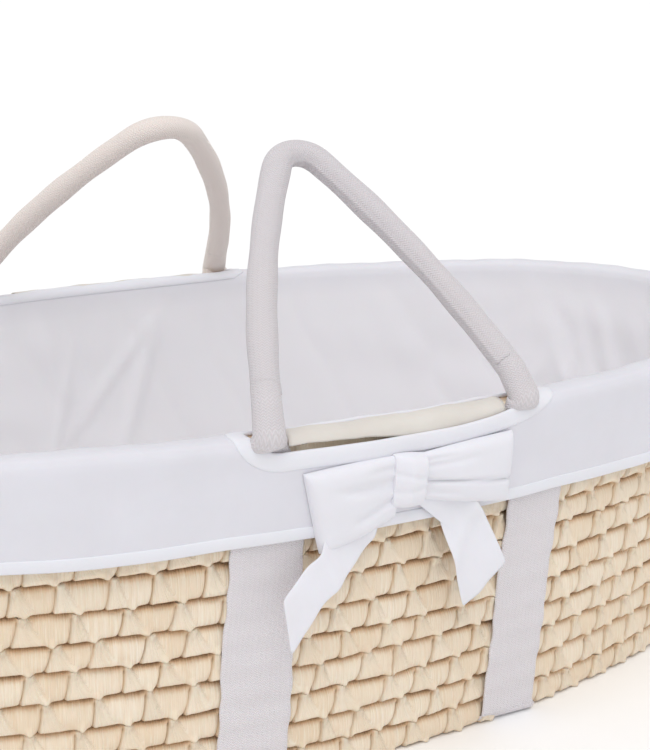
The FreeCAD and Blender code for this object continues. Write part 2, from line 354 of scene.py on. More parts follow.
def webbing_material(name, light, shade):
    """Cotton webbing woven in narrow chevron columns."""
    n = Nodes(name, 0.9, 0.25, 0.03)
    uv = n.uv()
    split = n.add("SeparateXYZ", Vector=uv)
    column, rib = 0.0016, 0.0017
    zigzag = n.math("PINGPONG", split.outputs[0], column)
    along = n.math("ADD", split.outputs[1], n.math("MULTIPLY", zigzag, 0.9))
    ribs = n.math("SINE", n.math("MULTIPLY", along, 2 * math.pi / rib))
    fuzz = n.noise(n.scaled(uv, 900, 900), detail=3.0)
    wear = n.noise(n.scaled(uv, 35, 35), detail=4.0)
    height = n.math("ADD", ribs, n.math("MULTIPLY", fuzz, 1.6))
    colour = n.mix(n.range(ribs, -1.0, 0.8, 0.45, 1.0), shade, light)
    colour = n.mix(n.math("MULTIPLY", wear, 0.3), colour, shade)
    return n.finish(colour, height, 0.5, 0.0004)


def husk_material():
    """Dry maize husk: fine fibres along each wrap, tones that differ from wrap to wrap."""
    n = Nodes("husk", 0.6, 0.1, 0.06)
    uv = n.uv()
    tone, deep, strip = n.value("tone"), n.value("deep"), n.value("strip")
    fibre = n.noise(n.scaled(uv, 1150, 40), detail=4.0, roughness=0.6)
    coarse = n.noise(n.scaled(uv, 380, 22), detail=3.0)
    blotch = n.noise(n.scaled(uv, 60, 45), detail=3.0)
    pale, straw = (0.88, 0.775, 0.635, 1), (0.78, 0.615, 0.435, 1)
    amber, brown = (0.66, 0.42, 0.225, 1), (0.20, 0.10, 0.045, 1)
    colour = n.mix(n.range(tone, 0.0, 1.0, 0.0, 0.65), pale, straw)
    for source, start, end, share, tint in (
            (coarse, 0.42, 0.7, 0.5, straw), (blotch, 0.58, 0.8, 0.35, amber), (fibre, 0.5, 0.72, 0.5, straw),
            (fibre, 0.5, 0.3, 0.5, (0.93, 0.86, 0.73, 1)), (strip, 0.0, 1.0, 0.35, (0.91, 0.80, 0.64, 1))):
        colour = n.mix(n.range(source, start, end, 0.0, share), colour, tint)
    # deep carries the relief's painted shade: the colour goes amber, then brown, in the joints, under each
    # row's overhang and in the creases of the wraps.
    edge = n.math("ADD", deep, n.math("MULTIPLY", n.math("SUBTRACT", fibre, 0.5), 0.5))
    colour = n.mix(n.range(edge, 0.1, 0.5, 0.0, 0.7), colour, amber)
    colour = n.mix(n.range(edge, 0.45, 0.95), colour, brown)
    height = n.math("ADD", n.math("MULTIPLY", fibre, 1.0), n.math("MULTIPLY", coarse, 1.5))
    return n.finish(colour, height, 0.7, 0.0009)


# The photo shows the liner's inside and the back handle's webbing lit paler, so they are tinted apart.
COTTON_TONES = (0.74, 0.73, 0.785, 1), (0.71, 0.70, 0.75, 1)
HUSK = husk_material()
COTTON = cotton_material("cotton", *COTTON_TONES)
BOW_COTTON = cotton_material("bow_cotton", (0.80, 0.795, 0.85, 1), (0.77, 0.765, 0.81, 1))
TAPE = cotton_material("facing_tape", (0.73, 0.69, 0.645, 1), (0.67, 0.62, 0.57, 1))
WEB = webbing_material("webbing", (0.80, 0.77, 0.805, 1), (0.67, 0.63, 0.645, 1))
# The tube webbing is two copies of the strap webbing: darker at the front handle, painted shade; paler and
# warmer at the back handle, painted light.
TUBE_WEB = {"front": webbing_material("tube_webbing", (0.70, 0.665, 0.695, 1), (0.58, 0.54, 0.55, 1)),
            "back": webbing_material("tube_webbing_warm", (0.88, 0.80, 0.76, 1), (0.75, 0.67, 0.62, 1))}
QUILT = cotton_material("mattress_cotton", (0.83, 0.82, 0.80, 1), (0.76, 0.75, 0.73, 1), 0.0008)
TRIM = cotton_material("trim_cotton", (0.80, 0.795, 0.85, 1), (0.78, 0.775, 0.82, 1))


# ---- husk rows ----
STITCHES = 74               # wrapping stitches in each turn of the coil
CREVICE = 6.4               # how deep the joint between two rows lies
STAGGER = 0.5               # shift between the stitches of one row and the next, in cells
BEFORE = 0.42               # share of a cell that lies before its stitch
ROW_GAP = 0.15              # left free at each joint


def stitch_centres(count, stitches, per_cell):
    """Where each row's stitches lie, in cells along the row, staggered from row to row."""
    rows = []
    drift = 0.0
    for i in range(count):
        drift += RNG.uniform(-0.12, 0.12)
        jitter = RNG.uniform(-0.13, 0.13, stitches)
        centres = np.arange(stitches) + STAGGER * (i % 2) + drift + jitter
        rows.append(np.round(centres * per_cell) / per_cell)
    return rows


def from_stitch(cells, centres):
    """Distance in cells from the stitch that each place belongs to, and that stitch's number."""
    reach = (cells[..., None] - centres + BEFORE) % len(centres)
    index = np.argmin(reach, axis=-1)
    return np.take_along_axis(reach, index[..., None], axis=-1)[..., 0] - BEFORE, index


class Relief:
    """Face of one husk row: a rounded coil, and the wrap of each stitch that fans down over it.

    Columns of places follow the stitches, so that the crease at a wrap's edge is sharp. v runs from the
    row's lower joint to its upper one. Gives places along the row in cells, heights over the
    row's outermost line in mm, and how deep in shade, how much part of a wrap, and what tone.
    """

    def __init__(self, own, below, per_cell, face_points, seed):
        random = np.random.default_rng(seed)

        def draw(low, high):
            return random.uniform(low, high, len(own))

        count = len(own) * per_cell
        base = np.arange(count + 1) / per_cell
        v = np.linspace(0, 1, face_points)[None, :]
        fall = 1 - v
        d, k = from_stitch(base, own)
        d, k = d[:, None], k[:, None]
        width, curl, lift, slant = (draw(*span)[k] for span in ((0.8, 1.25), (0.6, 1.35), (0.7, 1.3),
                                                                (-0.05, 0.05)))
        left = -(0.07 + 0.12 * curl * fall ** 1.7) * width + slant * v
        right = (0.09 + 0.29 * fall ** 1.1) * width + slant * v
        shift = left * np.clip(1 - np.abs(d) / 0.4, 0, 1)
        self.cells = base[:, None] + shift
        d = d + shift
        gap = np.clip(left - d, 0, None)
        past = (d - left) / (right - left)
        on_left = smooth(-0.012, 0.04, d - left)
        strip = on_left * (1 - smooth(0.82, 1.12, past))
        pillow = np.where(d < left - 1e-6, k, k + 1) % len(own)

        up = np.clip((v - 0.45) / 0.55, 0, 1)
        down = np.clip((0.45 - v) / 0.45, 0, 1)
        over_top, under_foot = 1 - np.sqrt(1 - 0.985 * up ** 2.1), 1 - np.sqrt(1 - 0.985 * down ** 2.3)
        roll = -CREVICE * (over_top + 0.85 * under_foot)
        neck = np.exp(-((d - slant) / (0.10 * width)) ** 2) * smooth(0.55, 0.9, v)
        under, _ = from_stitch(self.cells, below)
        knot = np.exp(-(under / 0.095) ** 2) * (1 - smooth(0.05, 0.36, v))
        body = roll * (1 - 0.92 * neck) * (1 - 0.85 * knot)
        puff = draw(-0.5, 0.7)[pillow] * np.sin(math.pi * v)
        shoulder = -1.1 * np.exp(-gap / 0.05) * (1 - on_left) * smooth(0.02, 0.3, fall)
        groove = np.exp(-((d - left) / 0.016) ** 2) * smooth(0.03, 0.22, fall)
        rise = strip * lift * (1.9 - 1.1 * np.clip(past, 0, 1)) * smooth(0.0, 0.2, v + 0.08)
        pleats = 0.45 * strip * np.cos(2 * math.pi * 2.2 * past + 6 * curl) * (0.3 + 0.7 * v)
        corner = smooth(0.66, 1.0, v) * np.exp(-gap / 0.09) * (1 - on_left)
        over = 1.5 * np.exp(-(under / 0.08) ** 2) * (1 - smooth(0.10, 0.34, v))
        over = over + 3.4 * neck * smooth(0.66, 1.0, v)
        surface = body + puff + shoulder - 1.2 * groove + rise + pleats - 1.3 * corner + over
        self.height = np.minimum(surface, 0.5 + 2.2 * v ** 2)

        # Painted shade: darker under the row above, at the row's foot, and in the grooves and corners of the
        # wraps.
        top = smooth(0.6, 1.0, v) * (1 - 0.95 * neck) * (1 - 0.3 * strip)
        foot = (1 - smooth(0.0, 0.13, v)) * (1 - 0.95 * knot)
        shade = 0.72 * top ** 1.7 + 0.5 * foot + 0.5 * groove + 0.4 * corner
        self.deep = np.clip(shade * draw(0.75, 1.2)[pillow], 0, 1)
        self.strip = np.clip(strip + knot, 0, 1)
        wrap_tone, pillow_tone = random.uniform(0, 1, (2, len(own)))
        self.tone = strip * wrap_tone[k] + (1 - strip) * pillow_tone[pillow]
        fibre = (d - left) / (right - left) * 0.68 + left
        self.fibre = self.cells + strip * (fibre - d)


def pad(data, columns, fill):
    """Widen a grid with columns of one value."""
    return np.concatenate([data, np.full((len(data), columns), fill)], axis=1)


def coil(name, relief, length, place, back, width, tag, closed):
    """Closed mesh of one row from its relief; place(s, v, height) gives the points of its face."""
    count = len(relief.cells) - (1 if closed else 0)
    per_cell = length / relief.cells[-1].mean()
    face_points = relief.cells.shape[1]
    v = np.linspace(0, 1, face_points)
    s = relief.cells * per_cell
    face = place(s, v[None, :], relief.height)
    behind = back(s[:, :1])
    points = np.concatenate([face, behind], axis=1)[:count]
    extra = behind.shape[1]
    along = np.concatenate([relief.fibre * per_cell, np.repeat(s[:, :1], extra + 1, axis=1)], axis=1)
    rise = np.concatenate([v * width, np.linspace(width, 0, extra + 1)])
    uv = uv_grid(along + 3.0 * tag, rise[None, :] + 31.0 * tag)
    values = {key: pad(getattr(relief, key)[:count], extra, fill)
              for key, fill in (("tone", 0.6), ("deep", 0.5), ("strip", 0.0))}
    return grid_object(name, points, closed, True, uv, values)


def husk_row(index, relief):
    """One wall row as a closed ring with its wraps and stitches in relief."""
    node = ROW_NODES[index]
    low, high = mm_box(node)
    outer = high[0] - HALF_LENGTH
    last = len(ROW_NODES) - 1

    def joint(number, s):
        free = 0.0 if number in (0, last + 1) else 1.0
        turn = OVAL.length
        return free * waves(s, (turn / 3, 0.7, number * 1.7), (turn / 11, 0.6, number * 2.9),
                            (turn / 29, 0.35, number * 4.1))

    def span(s):
        return low[2] + ROW_GAP + joint(index, s), low[2] + ROW_PITCH - ROW_GAP + joint(index + 1, s)

    def place(s, v, height):
        bottom, top = span(s)
        proud = 0.2 if index == last else 3.0
        offset = outer + 0.5 + np.clip(height, -ROW_THICKNESS + 4, proud)
        return OVAL.place(s, offset, bottom + (top - bottom) * v)

    def back(s):
        bottom, top = span(s)
        offset = outer - ROW_THICKNESS + np.array([[4.5, 1.2, 0.3, 1.2, 4.5]])
        return OVAL.place(s, offset, bottom + (top - bottom) * np.array([[1.0, 0.85, 0.5, 0.15, 0.0]]))

    obj = coil("husk_" + node[-2:], relief, OVAL.length, place, back, ROW_PITCH, index, True)
    return fixed(obj, "basket", "husk", HUSK, node)


def husk_wall():
    """All the wall rows; the ones under the skirt are coarser."""
    centres = stitch_centres(len(ROW_NODES) + 1, STITCHES, 26)
    for index in range(len(ROW_NODES)):
        hidden = index * ROW_PITCH > HEM_Z
        per_cell, face_points = (9, 10) if hidden else (26, 22)
        husk_row(index, Relief(centres[index + 1], centres[index], per_cell, face_points, 100 + index))


# ---- husk base ----
def base_coil(name, edge, place, length, width, thickness, closed, tag):
    """A flat row of the base, worked like the wall rows with its face downwards."""
    stitches = max(3, int(length / 29))
    own, below = stitch_centres(2, stitches, 12)
    relief = Relief(own, below, 12, 12, tag)

    def face(s, v, height):
        return place(s, edge - v * width, -np.minimum(height * 0.6 - 0.9, 0.0))

    def back(s):
        across = edge - width * np.array([[1.0, 0.8, 0.2, 0.0]])
        return place(s, across, np.array([[thickness - 3, thickness, thickness, thickness - 3.0]]))

    return coil(name, relief, length, face, back, width, tag, closed)


def husk_base():
    """Rings and straight middle rows of the base, seen from below."""
    low, high = mm_box("base_rings")
    thickness = high[2] - low[2]
    outer = high[0] - HALF_LENGTH
    _, centre = mm_box("base_centre_rows")
    rings, bars, gap = 6, 7, 0.3
    pitch = (high[0] - centre[0]) / rings
    objects = []
    for i in range(rings):
        objects.append(base_coil("ring", outer - i * pitch, OVAL.place, OVAL.length, pitch - gap, thickness,
                                 True, 300 + i))
    fixed(joined("husk_base_rings", objects), "basket", "husk", HUSK, "base_rings")
    width = 2 * centre[1] / bars
    objects = []
    for i in range(bars):
        top = centre[1] - i * width
        middle = abs(top - width / 2) / centre[1]
        half = centre[0] * (1 - 0.93 * middle ** 1.6)

        def straight(s, across, z, start=-half):
            return np.stack(np.broadcast_arrays(start + s, across, z), axis=-1)

        objects.append(base_coil("bar", top, straight, 2 * half, width - gap, thickness, False, 400 + i))
    fixed(joined("husk_base_middle", objects), "basket", "husk", HUSK, "base_centre_rows")


husk_wall()
husk_base()


# ---- liner ----
class Line:
    """A smoothed profile line across a wall, walked by its length t; each point is (offset, z)."""

    def __init__(self, corners, rounds=3):
        points = np.array(corners, float)
        for _ in range(rounds):
            a, b = points[:-1], points[1:]
            cut = np.stack([a * 0.75 + b * 0.25, a * 0.25 + b * 0.75], axis=1).reshape(-1, 2)
            points = np.concatenate([points[:1], cut[1:-1], points[-1:]])
        self.t = walked(points)
        self.points = points
        self.length = self.t[-1]
        self.slope = np.gradient(points, self.t, axis=0)

    def at(self, t):
        return np.interp(t, self.t, self.points[:, 0]), np.interp(t, self.t, self.points[:, 1])

    def normal(self, t):
        """Unit normal on the side that faces away from the husk."""
        do, dz = np.interp(t, self.t, self.slope[:, 0]), np.interp(t, self.t, self.slope[:, 1])
        size = np.hypot(do, dz)
        return dz / size, -do / size

    def t_where(self, z):
        """Length at which the line first crosses a height."""
        return self.t[np.where(np.diff(np.sign(self.points[:, 1] - z)) != 0)[0][0]]


CLOTH = 1.2
FLOOR_OFFSET = mm_box("liner_floor")[1][0] - HALF_LENGTH
LINER = Line([(-7.6, HEM_Z), (-4.0, HEM_Z + 30), (-0.9, RIM_TOP - 7), (-2.8, RIM_TOP - 2.4),
              (-5.4, RIM_TOP - 0.8), (-17.6, RIM_TOP - 0.8), (-21.0, RIM_TOP - 2.8), (-21.6, RIM_TOP - 6),
              (-38.0, 120.0), (FLOOR_OFFSET + 1.0, FLOOR_Z + 1.2)])
T_CROWN = LINER.t_where(RIM_TOP - 7) + 15.0


def cloth_rise(s, t):
    """Soft unevenness of the liner: a skirt that hangs in shallow waves and a wall that wrinkles."""
    skirt = 1 - smooth(T_CROWN - 30, T_CROWN - 8, t)
    wall = smooth(T_CROWN + 12, T_CROWN + 60, t)
    hang = waves(s, (310, 0.8, 0.4), (143, 0.6, 2.1), (61, 0.25, 1.3)) - 0.2
    lie = waves(s + 0.5 * t, (173, 1.5, 0.2), (71, 0.8, 1.9), (37, 0.35, 4.0))
    lie = lie + 0.7 * waves(t + 0.16 * s, (88, 1.1, 0.8), (41, 0.6, 2.7)) * (0.6 + 0.4 * np.sin(s / 97))
    crown = waves(s, (83, 0.35, 0.6), (29, 0.2, 2.2))
    rise = hang * skirt + np.abs(lie) * wall + crown * (1 - skirt) * (1 - wall)
    for centre, height, lean, width, start in CREASES:
        reach = np.mod(s - centre + OVAL.length / 2, OVAL.length) - OVAL.length / 2
        line = reach - lean * (t - T_CROWN - start)
        begun = smooth(start - 25, start + 30, t - T_CROWN)
        ended = smooth(start + 70, start + 130, t - T_CROWN)
        rise = rise + height * wall * np.exp(-(line / width) ** 2) * begun * (1 - ended)
    return rise


def crease_list():
    """Creases of the inner wall: place, height, lean, width and how far down they begin."""
    draw = np.random.default_rng(5).uniform
    return [(s, draw(1.2, 3.2), draw(-1.1, 1.1), draw(4, 9), draw(-5, 90))
            for s in np.sort(draw(0, OVAL.length, 30))]


CREASES = crease_list()


def liner_point(s, t, h=0.0):
    """Point on the liner at arc length s and profile length t, lifted h along its normal."""
    s, t, h = np.broadcast_arrays(np.asarray(s, float), np.asarray(t, float), np.asarray(h, float))
    offset, z = LINER.at(t)
    no, nz = LINER.normal(t)
    rise = h + cloth_rise(s, t)
    hang = (waves(s, (420, 1.0, 2.6), (187, 0.7, 0.3)) * (1 - smooth(0, 40, t)))
    return OVAL.place(s, offset + rise * no, z + rise * nz + hang)


class Slot:
    """Opening in the fold that a handle passes through, as a closed curve in (s, t)."""

    def __init__(self, side):
        self.a, self.b = sorted(OVAL.s_at(x + tuck, side) for x, tuck in zip(SLOTS[side], SLOT_TUCK))
        self.flip = side > 0
        self.t_out = LINER.t_where(SLOT_SILL)
        self.t_in = T_CROWN + (6.0 if side < 0 else 2.5)
        self.ramps = (0.42, 0.21) if side < 0 else (0.2, 0.5)

    def depths(self, s):
        """Edges (outer t, inner t) of the opening at arc lengths s; both are the crown outside it."""
        u = np.clip((s - self.a) / (self.b - self.a), 0, 1)
        u = 1 - u if self.flip else u
        start = np.sqrt(1 - (1 - np.clip(u / 0.10, 0, 1)) ** 2.0)
        ends = [np.sqrt(1 - (1 - np.clip((1 - u) / ramp, 0, 1)) ** 1.9) for ramp in self.ramps]
        shape, inner = start * ends[0], start * ends[1]
        return T_CROWN - (T_CROWN - self.t_out) * shape, T_CROWN + (self.t_in - T_CROWN) * inner

    def loop(self, step=2.5):
        """Evenly spaced (s, t) points round the opening, anticlockwise seen from outside."""
        turn = np.linspace(0, math.pi, 600)
        s = self.a + (self.b - self.a) * (1 - np.cos(turn)) / 2
        outer, inner = self.depths(s)
        path = np.concatenate([np.stack([s, outer], 1), np.stack([s, inner], 1)[::-1][1:-1]])
        closed = np.concatenate([path, path[:1]])
        length = walked(closed)
        return spread(closed, length, np.linspace(0, length[-1], int(length[-1] / step), endpoint=False))


OPENINGS = {side: Slot(side) for side in SLOTS}


def slot_edges(s):
    """Where the skirt and the inner wall end, in profile length, at arc lengths s."""
    outer = np.full(len(s), T_CROWN)
    inner = np.full(len(s), T_CROWN)
    for opening in OPENINGS.values():
        a, b = opening.depths(s)
        outer, inner = np.minimum(outer, a), np.maximum(inner, b)
    return outer, inner


def solidify(obj, thickness):
    """Cloth thickness as a modifier."""
    modifier = obj.modifiers.new("thickness", "SOLIDIFY")
    modifier.thickness = thickness * MM
    modifier.offset = 0.0
    return obj


def mended(obj, change):
    """Run a bmesh change on a piece and turn its faces outwards."""
    work = bmesh.new()
    work.from_mesh(obj.data)
    change(work)
    bmesh.ops.recalc_face_normals(work, faces=work.faces)
    work.to_mesh(obj.data)
    work.free()


def liner_wall():
    """One sheet: inner wall, fold and skirt, open at the two handle slots."""
    s = turn_of(620)
    outer, inner = slot_edges(s)
    skirt_t = outer[:, None] * np.linspace(0, 1, 22)
    wall_t = inner[:, None] + (LINER.length - inner)[:, None] * np.linspace(0, 1, 46)
    sheets = []
    for name, t in (("skirt", skirt_t), ("wall", wall_t)):
        points = liner_point(s[:, None], t)
        uv = uv_grid(np.append(s, OVAL.length)[:, None], np.concatenate([t, t[:1]]))
        sheets.append(grid_object(name, points, True, False, uv))
    sheet = joined("liner", sheets)
    mended(sheet, lambda work: bmesh.ops.remove_doubles(work, verts=work.verts, dist=2e-5))
    solidify(sheet, CLOTH)
    # The inside of the wall gets a paler colour than the skirt: painted light.
    cloth = cotton_material("liner_cotton", *COTTON_TONES, inside_painted_light=(0.81, 0.79, 0.825, 1), crown=T_CROWN)
    fixed(sheet, "basket", "cotton", cloth, "liner_wall_and_skirt")
    return sheet


def strip(name, centre, section):
    """Closed band along a path of (s, t) points on the liner; section points are (across, lift)."""
    tangent = unit(np.roll(centre, -1, 0) - np.roll(centre, 1, 0))
    normal = np.stack([tangent[:, 1], -tangent[:, 0]], axis=1)
    section = np.array(section)
    s = centre[:, None, 0] + normal[:, None, 0] * section[None, :, 0]
    t = centre[:, None, 1] + normal[:, None, 1] * section[None, :, 0]
    points = liner_point(s, t, section[None, :, 1])
    along = walked(np.concatenate([centre, centre[:1]]))
    girth = np.append(walked(section), 0.0)
    return grid_object(name, points, True, True, uv_grid(along[:, None], girth[None, :]))


BINDING = [(-0.9, -1.1), (-1.4, -0.2), (-1.1, 0.9), (-0.2, 1.35), (3.0, 1.5), (7.0, 1.4), (9.0, 1.3),
           (9.8, 0.9), (9.9, 0.4), (5.0, 0.3), (0.5, 0.0), (0.2, -0.7)]
HEM = [(-0.6, -0.9), (-1.1, -0.2), (-0.9, 0.7), (0.0, 1.0), (3.5, 1.15), (6.4, 1.1), (7.1, 0.8), (7.1, 0.4),
       (3.0, 0.2), (0.4, -0.3)]


def liner_trim():
    """Bindings round both slots and the hem round the skirt."""
    for side, node in ((-1, "slot_binding_front"), (1, "slot_binding_back")):
        path = OPENINGS[side].loop()
        band = strip(node.replace("slot_", ""), path, BINDING)
        fixed(band, "basket", "cotton", TRIM, node)
    s = turn_of(700)
    hem = strip("skirt_hem", np.stack([s, np.full(len(s), 0.8)], 1), [(-a, h) for a, h in HEM][::-1])
    fixed(hem, "basket", "cotton", TRIM, "hem_binding")


FACING_OVERRUN = 16.0       # the facing runs on past the left foot


def facing(side):
    """Beige cloth laid over the rim row inside a slot."""
    node = "slot_facing_front" if side < 0 else "slot_facing_back"
    low, high = mm_box(node)
    ends = sorted((OVAL.s_at(low[0] - FACING_OVERRUN, side), OVAL.s_at(high[0], side)))
    s = np.linspace(*ends, 60)
    u = np.linspace(0, 1, 60)
    u = 1 - u if side > 0 else u
    line = Line([(-20.2, 222.0), (-19.6, 231.0), (-15.5, 233.4), (-8.0, 232.6), (-4.4, 229.0),
                 (-3.9, 221.5)])
    stop = line.length * (0.85 + 0.15 * smooth(0.2, 0.62, u))
    t = stop[:, None] * np.linspace(0, 1, 26)[None, :]
    offset, z = line.at(t)
    lift = waves(s[:, None] + 0.3 * t, (47, 0.35, 0.5), (19, 0.15, 1.0))
    points = OVAL.place(s[:, None], offset + 0.6, z + lift)
    cloth = solidify(grid_object(node.replace("slot_", ""), points, uv=uv_grid(s[:, None], t)), 0.8)
    fixed(cloth, "basket", "facing_tape", TAPE, node)
    return cloth


def liner_floor():
    """Floor panel, flat but for a little unevenness."""
    edge = OVAL.place(turn_of(220), FLOOR_OFFSET - 0.4, FLOOR_Z)
    share = np.linspace(1, 0.0005, 26)
    points = edge[:, None, :] * share[None, :, None]
    points[:, :, 2] = FLOOR_Z + 0.8 + 0.25 * np.sin(points[:, :, 0] / 31) * np.sin(points[:, :, 1] / 23)
    uv = points[:, :, :2] * MM
    uv = np.concatenate([uv, uv[:1]])
    panel = solidify(grid_object("liner_floor_panel", points, True, False, uv), CLOTH)
    fixed(panel, "basket", "cotton", COTTON, "liner_floor")
    return panel


# ---- straps ----
def wall_y(x, offset, side):
    """y of the front or back wall at x, on a line at an offset from the rim outline."""
    return side * (np.sqrt((OVAL.side + offset) ** 2 - x ** 2) - OVAL.drop)


WEB_HALF = [(-1.0, 0.45), (-0.97, 0.95), (-0.85, 1.0), (-0.5, 1.0), (0.0, 1.0), (0.5, 1.0), (0.85, 1.0),
            (0.97, 0.95), (1.0, 0.45)]
WEB_SECTION = [(-1.0, -0.45)] + WEB_HALF + [(x, -y) for x, y in WEB_HALF[:0:-1]]


def strap(name, node):
    """Webbing from slot to slot: down one wall, under the base and up the other wall."""
    low, high = mm_box(node)
    middle, half = (low[0] + high[0]) / 2, (high[0] - low[0]) / 2
    bend_z = WEBBING_BEND + 1.0
    down = np.linspace(high[2] - 4.5, bend_z, 110)
    corner = [math.radians(a) for a in (15, 40, 65, 88)]
    section = np.array(WEB_SECTION)

    def row(side, z, slant, centre_y=None):
        offset = husk_offset(z) + 1.3
        pull = 0.35 * np.cos(2 * math.pi * (z / ROW_PITCH - 0.5))
        drift = 0.8 * math.sin(z / 33 + side + middle) + 0.5 * math.sin(z / 11.7 + middle)
        edge = 0.35 * np.sin(z / 4.1 + section[:, 0] * 3)
        x = middle + drift + section[:, 0] * (half - 0.3) + edge * np.abs(section[:, 0])
        lift = section[:, 1] * WEBBING / 2
        y = wall_y(x, offset + pull, side) if centre_y is None else np.full(len(x), centre_y)
        return np.stack([x, y + side * lift * math.cos(slant), z - lift * math.sin(slant)], axis=-1)

    def side_rows(side):
        made = [row(side, z, 0.0) for z in down]
        foot = made[-1][:, 1].mean() - side * WEBBING_BEND
        for angle in corner:
            centre = foot + side * WEBBING_BEND * math.cos(angle)
            made.append(row(side, bend_z - WEBBING_BEND * math.sin(angle), angle, centre))
        return made, foot

    front, front_foot = side_rows(-1)
    back, back_foot = side_rows(1)
    under = []
    for y in np.linspace(front_foot + WEBBING_BEND, back_foot - WEBBING_BEND, 60):
        points = row(-1, 1.05, math.pi / 2, y)
        points[:, 0] += 0.4 * math.sin(y / 40)
        under.append(points)
    rows = np.array(front + under + back[::-1])
    lengths = walked(rows.mean(axis=1))
    across = np.append(section[:, 0], section[0, 0]) * half
    across[0] = across[-1] = -half
    ribbon = capped(name, rows, uv_grid(across[None, :] + half, lengths[:, None]))
    fixed(ribbon, "basket", "webbing", WEB, node)


def capped(name, rows, uv):
    """Closed tube through rows of section points, with flat ends."""
    obj = grid_object(name, rows, False, True, uv)
    mended(obj, lambda work: bmesh.ops.holes_fill(work, edges=[e for e in work.edges if e.is_boundary]))
    for polygon in obj.data.polygons:
        polygon.use_smooth = len(polygon.vertices) == 4
    return obj


# ---- handles ----
def arch(handle, start, step=2.0):
    """Centre line of a handle in its own plane, left foot to right foot: (x, up) points and lengths."""
    radius = handle["top_radius"]
    crown = np.array([handle["crown"], handle["height"]])
    halves = []
    for end, foot_x, degrees in zip((-1, 1), handle["feet"], handle["top_angles"]):
        angle = math.radians(degrees)
        join = crown + radius * np.array([end * math.sin(angle), math.cos(angle) - 1])
        chord = np.array([foot_x, 0.0]) - join
        inward = np.array([-end * math.sin(angle), -math.cos(angle)])
        leg_radius = chord @ chord / (2 * chord @ inward)
        centre = join + inward * leg_radius
        a = np.linspace(math.asin((start - centre[1]) / leg_radius), math.pi / 2 - angle, 200)
        leg = centre + np.stack([end * np.cos(a), np.sin(a)], 1) * leg_radius
        a = np.linspace(angle, 0, 60)[1:]
        top = crown + radius * np.stack([end * np.sin(a), np.cos(a) - 1], 1)
        halves.append(np.concatenate([leg, top]))
    path = np.concatenate([halves[0], halves[1][::-1][1:]])
    length = walked(path)
    even = np.linspace(0, length[-1], int(length[-1] / step))
    return spread(path, length, even), even


def lean(handle, points):
    """Upright (x, y, z) handle points to their place over the basket."""
    angle = math.radians(handle["lean"]) * handle["side"]
    x, y, z = points[..., 0], points[..., 1], points[..., 2]
    return np.stack([x, y * math.cos(angle) - z * math.sin(angle) + handle["side"] * HINGE_Y,
                     y * math.sin(angle) + z * math.cos(angle) + HINGE_Z], axis=-1)


def handle_tube(handle):
    """Webbing tube over its rope, a little uneven, with a seam along it."""
    path, length = arch(handle, FOOT)
    tangent = np.gradient(path, length, axis=0)
    around = circle(40)
    seed = handle["crown"]
    swell = (waves(length, (97, 0.25, seed), (41, 0.2, 2 * seed)))[:, None]
    swell = swell + 0.15 * np.sin(2 * around + length[:, None] / 60)
    seam_at = math.radians(200)
    seam = 0.9 * np.exp(-((around - seam_at) / 0.13) ** 2)
    radius = TUBE_RADIUS - 0.3 + swell + seam[None, :]
    side_x, side_z = -tangent[:, 1], tangent[:, 0]
    x = path[:, 0, None] + side_x[:, None] * np.cos(around) * radius
    z = path[:, 1, None] + side_z[:, None] * np.cos(around) * radius
    y = np.sin(around)[None, :] * radius
    points = lean(handle, np.stack([x, y, z], axis=-1))
    girth = np.append(around, 2 * math.pi) * TUBE_RADIUS
    name = handle["name"]
    obj = capped("sleeve_" + name, points, uv_grid(girth[None, :], length[:, None]))
    fixed(obj, "handle_" + name, "webbing", TUBE_WEB[name], "handle_sleeve_" + name, "handle_core_" + name)


